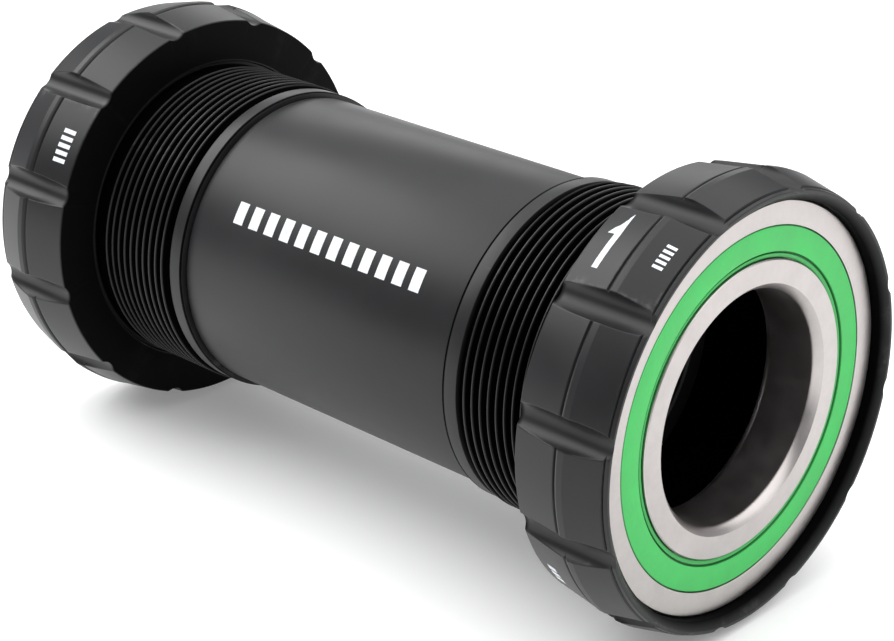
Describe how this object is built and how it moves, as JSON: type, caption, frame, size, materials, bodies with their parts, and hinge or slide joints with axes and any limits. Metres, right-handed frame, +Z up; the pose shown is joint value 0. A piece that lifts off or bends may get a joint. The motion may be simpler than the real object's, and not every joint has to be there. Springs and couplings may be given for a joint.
{
  "type": "bottom bracket",
  "caption": "Threaded bottom bracket with fluted external bearing cups, sealed cartridge bearings with green seals, and a dust sleeve between the cups.",
  "frame": {"origin": "on the spindle axis, half way between the two cups", "axes": "+Y along the spindle axis to the rider's left, +X forward, +Z up"},
  "size_m": [0.0466, 0.0902, 0.0466],
  "materials": {
    "black_aluminium": "black anodised, satin",
    "race_steel": "ground",
    "ball_steel": "polished",
    "green_seal": "matte moulded",
    "black_seal": "matte moulded",
    "o_ring_rubber": "greased",
    "cage_nylon": "moulded"
  },
  "bodies": {
    "sleeve": {"centre_sleeve": "black_aluminium"},
    "left_o_ring": {"left_o_ring": "o_ring_rubber"},
    "left_cup": {"left_cup": "black_aluminium", "left_outer_race": "race_steel", "left_outboard_seal": "green_seal", "left_inboard_seal": "black_seal"},
    "left_inner_race": {"left_inner_race": "race_steel"},
    "left_ball_set": {"left_ball_cage": "cage_nylon", "left_ball_01": "ball_steel", "left_ball_02": "ball_steel", "left_ball_03": "ball_steel", "left_ball_04": "ball_steel", "left_ball_05": "ball_steel", "left_ball_06": "ball_steel", "left_ball_07": "ball_steel", "left_ball_08": "ball_steel", "left_ball_09": "ball_steel", "left_ball_10": "ball_steel", "left_ball_11": "ball_steel", "left_ball_12": "ball_steel", "left_ball_13": "ball_steel", "left_ball_14": "ball_steel"},
    "right_o_ring": {"right_o_ring": "o_ring_rubber"},
    "right_cup": {"right_cup": "black_aluminium", "right_outer_race": "race_steel", "right_outboard_seal": "green_seal", "right_inboard_seal": "black_seal"},
    "right_inner_race": {"right_inner_race": "race_steel"},
    "right_ball_set": {"right_ball_cage": "cage_nylon", "right_ball_01": "ball_steel", "right_ball_02": "ball_steel", "right_ball_03": "ball_steel", "right_ball_04": "ball_steel", "right_ball_05": "ball_steel", "right_ball_06": "ball_steel", "right_ball_07": "ball_steel", "right_ball_08": "ball_steel", "right_ball_09": "ball_steel", "right_ball_10": "ball_steel", "right_ball_11": "ball_steel", "right_ball_12": "ball_steel", "right_ball_13": "ball_steel", "right_ball_14": "ball_steel"}
  },
  "joints": [
    {"name": "left_cup_turn", "type": "hinge", "parent": "sleeve", "child": "left_o_ring", "pos_m": [0, 0.023, 0], "axis": [0, 1, 0], "continuous": true},
    {"name": "left_cup_pull", "type": "slide", "parent": "left_o_ring", "child": "left_cup", "axis": [0, 1, 0], "range_m": [0, 0.008]},
    {"name": "left_spindle_turn", "type": "hinge", "parent": "left_cup", "child": "left_inner_race", "pos_m": [0, 0.03995, 0], "axis": [0, 1, 0], "continuous": true},
    {"name": "left_ball_turn", "type": "hinge", "parent": "left_cup", "child": "left_ball_set", "pos_m": [0, 0.03995, 0], "axis": [0, 1, 0], "continuous": true},
    {"name": "right_cup_turn", "type": "hinge", "parent": "sleeve", "child": "right_o_ring", "pos_m": [0, -0.023, 0], "axis": [0, 1, 0], "continuous": true},
    {"name": "right_cup_pull", "type": "slide", "parent": "right_o_ring", "child": "right_cup", "axis": [0, -1, 0], "range_m": [0, 0.008]},
    {"name": "right_spindle_turn", "type": "hinge", "parent": "right_cup", "child": "right_inner_race", "pos_m": [0, -0.03995, 0], "axis": [0, 1, 0], "continuous": true},
    {"name": "right_ball_turn", "type": "hinge", "parent": "right_cup", "child": "right_ball_set", "pos_m": [0, -0.03995, 0], "axis": [0, 1, 0], "continuous": true}
  ],
  "couplings": [
    {"joint": "left_ball_turn", "follows": "left_spindle_turn", "ratio": 0.4409},
    {"joint": "right_ball_turn", "follows": "right_spindle_turn", "ratio": 0.4409}
  ]
}
